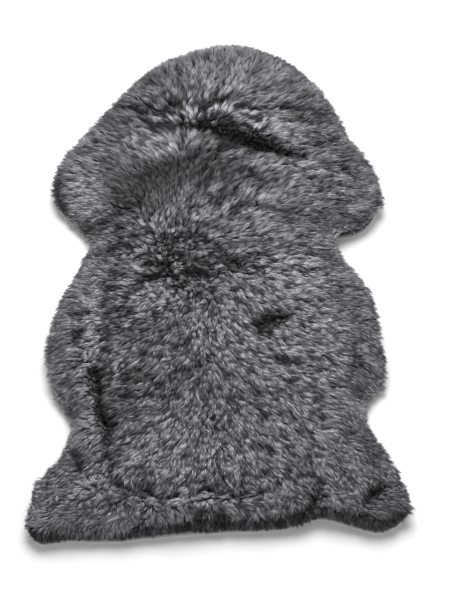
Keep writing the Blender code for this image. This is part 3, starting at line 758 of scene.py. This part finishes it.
# Which way the wool lies: as combed, turned by swirls and away from the creases, and along the bed.
lie, lean = combed_at(place)
flat_lie = np.column_stack((lie, np.zeros(len(lie))))
turn = sum(far * noise_at(place, size, pattern) for far, size, pattern in SWIRLS)
turn += CROWN_SWIRL * crown * noise_at(place, 0.024, 21.0)
turn += RUFFLED_SWIRL * np.maximum(ruffled, 0.0) * noise_at(place, 0.015, 61.0)
turn += HEM_SWIRL * soft_step(-place[:, 1], 0.34, 0.38) * noise_at(place, 0.017, 81.0)
cos_turn, sin_turn = np.cos(turn), np.sin(turn)
lie = np.column_stack((
    lie[:, 0] * cos_turn - lie[:, 1] * sin_turn,
    lie[:, 0] * sin_turn + lie[:, 1] * cos_turn,
))
lie = lie + TURNED_AWAY * turn_away * np.clip(0.8 + 1.2 * noise_at(place, 0.013, 71.0), 0.15, 1.2)[:, None]
lie = np.column_stack((lie, np.zeros(len(lie))))
lie -= upward * (lie * upward).sum(axis=1)[:, None]
lie /= np.maximum(np.linalg.norm(lie, axis=1), 0.01)[:, None]

# Which way it points: leaning on the top, out on the brim, up on the walls and down on the hem's wall.
lean = lean + LEAN_VARIES * noise_at(place, 0.030, 9.0) - PARTED_UPRIGHT * parted
lean -= HEM_UPRIGHT * near_edge * facing
nap = lie * np.sin(lean)[:, None] + upward * np.cos(lean)[:, None]
nap = blended(nap, way_of(*BRIM_WAY), on_brim * facing)
nap = blended(nap, blended(way_of(*WALL_WAY), way_of(*HEM_WALL_WAY), hung), side)
nap /= np.linalg.norm(nap, axis=1)[:, None]

# How long it is: enough to rise to the same height all over, and shorter by the creases and the edge.
reach = np.clip(RISE_TOP / np.cos(lean), STRAND_SHORTEST, STRAND_LONGEST) * (1.0 - PARTED_SHORTER * parted)
reach *= 1.0 - EDGE_SHORTER * near_edge
reach *= 1.0 + LOOSE_LONGER * loose
reach += (BRIM_REACH - reach) * on_brim * facing
wall_reach = blended(STRAND_WALL, np.clip(0.8 * place[:, 2], HEM_WALL_LEAST, HEM_WALL_MOST), hung)
reach = blended(reach, wall_reach, side)

# How lively its shades are, and how close its locks stand.
ruffle = 1.0 + ruffled
lively = (0.45 + 0.55 * inside) * ruffle
tufted = np.clip(1.0 - 0.25 * inside - 0.5 * (ruffle - 1.0), 0.5, 1.0)
tufted *= 1.0 - 0.5 * np.minimum(loose, 1.0)

# How light it is on the top: the drifts are light or dark, partly as the wool's own tone and partly as
# painted shade over the bed's hollows; the patches are painted light and shade, and the creases painted
# shade.
seen = place + lie * SEEN_ALONG
# The drifts share the bed's pattern, so the wool is painted lighter over its crests and darker over its
# hollows.
drift_tone_and_shade = FINE_DRIFT_TONE_AND_SHADE * drawn_out(place, flat_lie, *FINE_DRIFTS)
drift_tone_and_shade += BROAD_DRIFT_TONE_AND_SHADE * drawn_out(place, flat_lie, *BROAD_DRIFTS)
drift_tone_and_shade *= (0.95 + 0.36 * inside) * ruffle
drift_tone_and_shade = np.where(drift_tone_and_shade > 0.0, DRIFT_LIGHT, DRIFT_DARK) * drift_tone_and_shade
# Painted shade: the wool is painted darker in the creases and partings, as the shade that falls into them.
crease_shade = np.maximum(crease_effect(seen)[1], parted)
# Painted light and shade: the patches make the wool lighter where it faces the light, darker where it turns
# from it or lies in shadow.
patches = sum(patched(seen, rows) for rows in PAINTED_LIGHT_PATCHES.values())
tone = TONE_MIDDLE + TONE_RAISED + BROAD_TONE * noise_at(place, 0.050, 3.0) + drift_tone_and_shade
tone = tone + PATCH_LIGHT_AND_SHADE * patches - CREASE_PAINTED_SHADE * crease_shade
tone -= 0.5 * np.maximum(tone - TONE_MIDDLE - TONE_HELD, 0.0)

# How light it is on the hem's wall and its brim, which face away from the light: they are painted darker as
# shade, most on the upper part of the wall, and have columns of locks of their own tone.
wall_foot = place + out * edge_gap[:, None]
wall_foot[:, 2] = 0.0
columns = noise_at(wall_foot, 0.0045, 11.0) + 0.5 * noise_at(wall_foot, 0.010, 12.0)
wall_tone_and_shade = TONE_MIDDLE - HEM_WALL_PAINTED_SHADE - WALL_TOP_PAINTED_SHADE * soft_step(place[:, 2], 0.004, 0.020)
wall_tone_and_shade += WALL_LOCK_TONE * columns
brim_deep = BRIM_DEEP + BRIM_RIGHT * soft_step(place[:, 0], -0.17, -0.10)
brim_deep += BRIM_UNEVEN * noise_at(place, 0.014, 94.0)
brim_deep = brim_deep * MM + BRIM_LEG * MM * (1.0 - soft_step(place[:, 0], -0.26, -0.21))
brim = 1.0 - soft_step(edge_gap / np.maximum(brim_deep, 2.0 * MM), 0.8, 1.3)
patchy = np.clip(0.95 + 0.5 * noise_at(place, 0.022, 51.0), 0.6, 1.0)
# Painted shade on the walls and brims that face the hind end, away from the light.
wall_shade_share = np.maximum(side * (0.4 + 0.6 * at_hem), brim * at_hem * patchy) * facing
for x, radius in DRAPED:
    wall_shade_share *= 1.0 - 0.5 * np.exp(-((place[:, 0] - x * MM) / (radius * MM)) ** 2)
tone = blended(tone, wall_tone_and_shade, wall_shade_share)

# No wool grows on the underside. Each place's values are kept on the ground under these names.
wooled = soft_step(upward[:, 2], *WOOLED_SLOPE)
ground_values = {
    "nap": nap, "reach": reach, "tone": tone, "wooled": wooled, "lively": lively, "tufted": tufted,
}
for name, values in ground_values.items():
    is_vector = values.ndim == 2
    layer = ground.data.attributes.new(name, "FLOAT_VECTOR" if is_vector else "FLOAT", "POINT")
    layer.data.foreach_set("vector" if is_vector else "value", values.astype(np.float32).ravel())


def wool_material():
    material, tree, shader, add = new_material("grey wool")
    strand = add("ShaderNodeUVMap", uv_map="OFBake").outputs["UV"]
    parts = add("ShaderNodeSeparateXYZ", {"Vector": strand})
    # From the root's dark, partly painted shade, to the lighter tip.
    along = two_tone(add, parts.outputs["Y"], 0.0, WOOL_SHADOW, 0.5, WOOL_TIP)
    raised = add("ShaderNodeMath", {0: TONE_STEP, 1: parts.outputs["X"]}, operation="POWER")
    gain = add("ShaderNodeMath", {0: raised.outputs[0], 1: TONE_STEP ** -TONE_MIDDLE}, operation="MULTIPLY")
    tinted = add("ShaderNodeVectorMath", {0: along, "Scale": gain.outputs[0]}, operation="SCALE")
    tree.links.new(tinted.outputs["Vector"], shader.inputs["Base Color"])
    shader.inputs["Roughness"].default_value = WOOL_ROUGHNESS
    shader.inputs["Specular IOR Level"].default_value = 0.1
    return material


def strand_tree():
    """The tree that grows the wool's strands, gathers them into locks and bends them along their nap."""
    tree = bpy.data.node_groups.new("wool strands", "GeometryNodeTree")
    for name, kind, value in (
        ("Bed", "Geometry", None),
        ("From", "Float", -1.0),
        ("To", "Float", 1.0),
        ("Spacing", "Float", OVER_SPACING),
        ("Lock Spacing", "Float", LOCK_SPACING),
        ("Width", "Float", OVER_WIDTH),
        ("Bends", "Int", 2),
        ("Longer", "Float", 1.0),
        ("Gather", "Float", 0.55),
        ("Stray", "Float", 0.20),
        ("Lock Stray", "Float", 0.38),
        ("Seed", "Int", 3),
        ("Lock Seed", "Int", 5),
        ("Wool", "Material", None),
    ):
        socket = tree.interface.new_socket(name=name, in_out="INPUT", socket_type="NodeSocket" + kind)
        if value is not None:
            socket.default_value = value
    tree.interface.new_socket(name="Wool", in_out="OUTPUT", socket_type="NodeSocketGeometry")
    add = node_maker(tree)

    def maths(operation, a, b=0.0, c=0.0):
        return add("ShaderNodeMath", {0: a, 1: b, 2: c}, operation=operation).outputs[0]

    def vectors(operation, a, b=(0.0, 0.0, 0.0)):
        return add("ShaderNodeVectorMath", {0: a, 1: b}, operation=operation).outputs[0]

    def scaled(vector, factor):
        return add("ShaderNodeVectorMath", {0: vector, "Scale": factor}, operation="SCALE").outputs[0]

    def attribute(name, kind):
        return add("GeometryNodeInputNamedAttribute", {"Name": name}, data_type=kind).outputs[0]

    def random(low, high, salt, seed="Seed"):
        """A random number for each point, or a random vector where low and high are vectors."""
        is_vector = isinstance(low, tuple)
        salted = add("FunctionNodeIntegerMath", {0: given[seed], 1: salt}, operation="ADD").outputs[0]
        node = add(
            "FunctionNodeRandomValue",
            {0 if is_vector else 2: low, 1 if is_vector else 3: high, "Seed": salted},
            data_type="FLOAT_VECTOR" if is_vector else "FLOAT",
        )
        return node.outputs[0 if is_vector else 1]

    given = add("NodeGroupInput").outputs
    bed_mesh = given["Bed"]
    where = add("GeometryNodeInputPosition").outputs[0]
    nap_here = attribute("nap", "FLOAT_VECTOR")
    reach_here = attribute("reach", "FLOAT")
    tone_here = attribute("tone", "FLOAT")
    wooled_here = attribute("wooled", "FLOAT")
    lively_here = attribute("lively", "FLOAT")

    locks = add(
        "GeometryNodeDistributePointsOnFaces",
        {
            "Mesh": bed_mesh,
            "Distance Min": given["Lock Spacing"],
            "Density Max": LOCKS_MOST,
            "Density Factor": attribute("tufted", "FLOAT"),
            "Seed": given["Lock Seed"],
        },
        distribute_method="POISSON",
    )
    all_around = ((-1.0, -1.0, -1.0), (1.0, 1.0, 1.0))
    lock_drift = scaled(random(*all_around, 11, "Lock Seed"), given["Lock Stray"])
    lock_way = vectors("NORMALIZE", vectors("ADD", nap_here, lock_drift))
    lock_length = maths("MULTIPLY", reach_here, random(*LOCK_LENGTHS, 12, "Lock Seed"))
    lock_tip = vectors("ADD", where, scaled(lock_way, lock_length))
    lock_tone = random(0.0, 1.0, 13, "Lock Seed")

    dots = add(
        "GeometryNodeDistributePointsOnFaces",
        {
            "Mesh": bed_mesh,
            "Distance Min": given["Spacing"],
            "Density Max": STRANDS_MOST,
            "Density Factor": wooled_here,
            "Seed": given["Seed"],
        },
        distribute_method="POISSON",
    )
    spot = add("ShaderNodeSeparateXYZ", {"Vector": where}).outputs["Y"]
    short = add("FunctionNodeCompare", {0: spot, 1: given["From"]}, operation="LESS_THAN").outputs[0]
    past = add("FunctionNodeCompare", {0: spot, 1: given["To"]}, operation="GREATER_EQUAL").outputs[0]
    outside = add("FunctionNodeBooleanMath", {0: short, 1: past}, operation="OR").outputs[0]
    own_dots = add("GeometryNodeDeleteGeometry", {"Geometry": dots.outputs["Points"], "Selection": outside})
    points = own_dots.outputs[0]

    nearest = add("GeometryNodeSampleNearest", {"Geometry": locks.outputs["Points"]}, domain="POINT")

    def of_lock(value, kind):
        node = add(
            "GeometryNodeSampleIndex",
            {"Geometry": locks.outputs["Points"], "Value": value, "Index": nearest.outputs[0]},
            data_type=kind,
            domain="POINT",
        )
        return node.outputs[0]

    upright = dots.outputs["Normal"]
    length = maths("MULTIPLY", maths("MULTIPLY", reach_here, given["Longer"]), random(*STRAND_LENGTHS, 21))
    way = vectors("ADD", nap_here, scaled(random(*all_around, 22), given["Stray"]))
    own_tip = vectors("ADD", where, scaled(vectors("NORMALIZE", way), length))
    pull = maths("MULTIPLY", given["Gather"], random(*GATHERED, 23))
    tip = add(
        "ShaderNodeMix",
        {"Factor": pull, 4: own_tip, 5: of_lock(lock_tip, "FLOAT_VECTOR")},
        data_type="VECTOR",
    ).outputs[1]
    above = add("ShaderNodeSeparateXYZ", {"Vector": tip}).outputs
    clear_height = maths("MINIMUM", maths("MAXIMUM", above["Z"], LOWEST_TIP), TALLEST)
    tip = add("ShaderNodeCombineXYZ", {"X": above["X"], "Y": above["Y"], "Z": clear_height}).outputs[0]
    chord = vectors("SUBTRACT", tip, where)
    bow = vectors("ADD", where, scaled(chord, BOW_ALONG))
    bow = vectors("ADD", bow, scaled(scaled(upright, length), BOW_RISE))
    shade = maths("MULTIPLY_ADD", of_lock(lock_tone, "FLOAT"), LOCK_TONE, -0.5 * LOCK_TONE)
    shade = maths("ADD", random(-STRAND_TONE, STRAND_TONE, 24), shade)
    fleck_tone = STREAK_TONE / len(DRAW_STEPS)
    for step in DRAW_STEPS:
        beside = vectors("ADD", where, scaled(nap_here, step * STREAK_LONG))
        fleck = add("ShaderNodeTexNoise", {"Vector": beside, "Scale": 1.0 / STREAK_WIDE, "Detail": 1.0})
        fleck = maths("MULTIPLY_ADD", fleck.outputs[0], fleck_tone, -0.5 * fleck_tone)
        shade = maths("ADD", shade, fleck)
    light_shade = maths("MULTIPLY_ADD", shade, SHADE_LIGHT, SHADE_FROM)
    shade = maths("MINIMUM", maths("MULTIPLY", shade, SHADE_DARK), light_shade)
    shade = maths("MULTIPLY_ADD", shade, lively_here, tone_here)
    shade = add("ShaderNodeClamp", {"Value": shade, "Min": TONE_LEAST, "Max": TONE_MOST}).outputs[0]

    held = add("GeometryNodeCaptureAttribute", {"Geometry": points}, domain="POINT")
    for number, (kind, name, source) in enumerate((
        ("VECTOR", "root", where),
        ("VECTOR", "bow", bow),
        ("VECTOR", "tip", tip),
        ("FLOAT", "shade", shade),
    )):
        held.capture_items.new(kind, name)
        tree.links.new(source, held.inputs[number + 1])
    root_kept, bow_kept, tip_kept, shade_kept = (held.outputs[number] for number in (1, 2, 3, 4))

    spike = add(
        "GeometryNodeMeshCone",
        {
            "Vertices": 3,
            "Side Segments": given["Bends"],
            "Radius Top": 0.0,
            "Radius Bottom": 1.0,
            "Depth": 1.0,
        },
        fill_type="NGON",
    )
    spike_at = add("ShaderNodeSeparateXYZ", {"Vector": where}).outputs
    along = add("GeometryNodeCaptureAttribute", {"Geometry": spike.outputs["Mesh"]}, domain="POINT")
    along.capture_items.new("FLOAT", "along")
    tree.links.new(spike_at["Z"], along.inputs[1])
    fuller = maths("MULTIPLY_ADD", spike_at["Z"], 1.5, 1.0)
    ring = vectors("MULTIPLY", scaled(where, fuller), (1.0, 1.0, 0.0))
    flat_spike = add("GeometryNodeSetPosition", {"Geometry": along.outputs[0], "Position": ring}).outputs[0]

    aimed = add("FunctionNodeAlignRotationToVector", {"Vector": chord}, axis="Z").outputs[0]
    angle = random(0.0, math.tau, 25)
    spin = add("FunctionNodeAxisAngleToRotation", {"Axis": (0.0, 0.0, 1.0), "Angle": angle}).outputs[0]
    turned = add("FunctionNodeRotateRotation", {0: aimed, 1: spin}, rotation_space="LOCAL").outputs[0]
    girth = maths("MULTIPLY", given["Width"], random(*GIRTHS, 26))
    planted = add(
        "GeometryNodeInstanceOnPoints",
        {"Points": held.outputs[0], "Instance": flat_spike, "Rotation": turned, "Scale": girth},
    )
    loose = add("GeometryNodeRealizeInstances", {"Geometry": planted.outputs[0]}).outputs[0]

    share = along.outputs[1]
    rest = maths("SUBTRACT", 1.0, share)
    first = scaled(root_kept, maths("MULTIPLY", rest, rest))
    middle = scaled(bow_kept, maths("MULTIPLY", maths("MULTIPLY", rest, share), 2.0))
    last = scaled(tip_kept, maths("MULTIPLY", share, share))
    spine = vectors("ADD", vectors("ADD", first, middle), last)
    bent = vectors("ADD", spine, vectors("SUBTRACT", where, root_kept))
    strands = add("GeometryNodeSetPosition", {"Geometry": loose, "Position": bent}).outputs[0]
    chart = add("ShaderNodeCombineXYZ", {"X": shade_kept, "Y": share}).outputs[0]
    charted = add(
        "GeometryNodeStoreNamedAttribute",
        {"Geometry": strands, "Name": "OFBake", "Value": chart},
        data_type="FLOAT2",
        domain="CORNER",
    ).outputs[0]
    smooth = add("GeometryNodeSetShadeSmooth", {"Geometry": charted}).outputs[0]
    done = add("GeometryNodeSetMaterial", {"Geometry": smooth, "Material": given["Wool"]}).outputs[0]
    tree.links.new(done, add("NodeGroupOutput").inputs[0])
    return tree


wool = wool_material()
growth = strand_tree()
sockets = {item.name: item.identifier for item in growth.interface.items_tree if item.in_out == "INPUT"}

# Each layer of wool is in stretches across the rug, from the hem to the neck, in metres from the middle.
SHARED = {"Lock Spacing": LOCK_SPACING, "Lock Stray": 0.48, "Lock Seed": 5, "Wool": wool}
UNDER = {
    "Spacing": UNDER_SPACING, "Width": UNDER_WIDTH, "Bends": 1, "Longer": 1.0,
    "Gather": 0.54, "Stray": 0.23, "Seed": 3,
}
OVER = {
    "Spacing": OVER_SPACING, "Width": OVER_WIDTH, "Bends": 2, "Longer": 1.05,
    "Gather": 0.58, "Stray": 0.26, "Seed": 53,
}
STRETCHES = (
    ("under_wool_hem", -1.0, -0.240, UNDER),
    ("under_wool_back", -0.240, 0.000, UNDER),
    ("under_wool_shoulders", 0.000, 0.220, UNDER),
    ("under_wool_neck", 0.220, 1.0, UNDER),
    ("over_wool_hem", -1.0, -0.03, OVER),
    ("over_wool_neck", -0.03, 1.0, OVER),
)
for name, start, end, layer in STRETCHES:
    piece = bpy.data.objects.new(name, ground.data.copy())
    bpy.context.collection.objects.link(piece)
    grown = piece.modifiers.new("strands", "NODES")
    grown.node_group = growth
    for socket, value in {"From": start, "To": end, **SHARED, **layer}.items():
        grown[sockets[socket]] = value
    keep_result(piece)
    for extra in ground_values:
        if extra in piece.data.attributes:
            piece.data.attributes.remove(piece.data.attributes[extra])
    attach(piece, "root")
bpy.data.objects.remove(ground)

# --------------------------------------------------------------------------------------------------------
# The floor is a plain pale one under soft studio light, which comes from above and a little from behind
# the neck.
# --------------------------------------------------------------------------------------------------------
FLOOR_SIZE = 12.0
FLOOR_COLOUR = (0.90, 0.90, 0.90, 1.0)
FLOOR_ROUGHNESS = 0.9
WORLD_STRENGTH = 0.50
WORLD_COLOUR = (1.0, 1.0, 1.0, 1.0)
KEY_PLACE = Vector((0.03, 1.30, 2.53))
KEY_SIZE = 2.1
KEY_POWER = 90.0

floor_mesh = bpy.data.meshes.new("floor")
half = FLOOR_SIZE / 2
corners = [(-half, -half, 0), (half, -half, 0), (half, half, 0), (-half, half, 0)]
floor_mesh.from_pydata(corners, [], [(0, 1, 2, 3)])
floor = bpy.data.objects.new("floor", floor_mesh)
bpy.context.collection.objects.link(floor)
floor_material, _, floor_shader, _ = new_material("pale floor")
floor_shader.inputs["Base Color"].default_value = FLOOR_COLOUR
floor_shader.inputs["Roughness"].default_value = FLOOR_ROUGHNESS
floor_shader.inputs["Specular IOR Level"].default_value = 0.1
floor_mesh.materials.append(floor_material)

lamp = bpy.data.lights.new("key light", "AREA")
lamp.shape = "DISK"
lamp.size = KEY_SIZE
lamp.energy = KEY_POWER
light = bpy.data.objects.new("key light", lamp)
light.location = KEY_PLACE
light.rotation_euler = (-KEY_PLACE).to_track_quat("-Z", "Y").to_euler()
bpy.context.collection.objects.link(light)

world = bpy.data.worlds.new("studio")
world.use_nodes = True
world.node_tree.nodes["Background"].inputs["Color"].default_value = WORLD_COLOUR
world.node_tree.nodes["Background"].inputs["Strength"].default_value = WORLD_STRENGTH
bpy.context.scene.world = world
bpy.context.scene.view_settings.view_transform = "Standard"
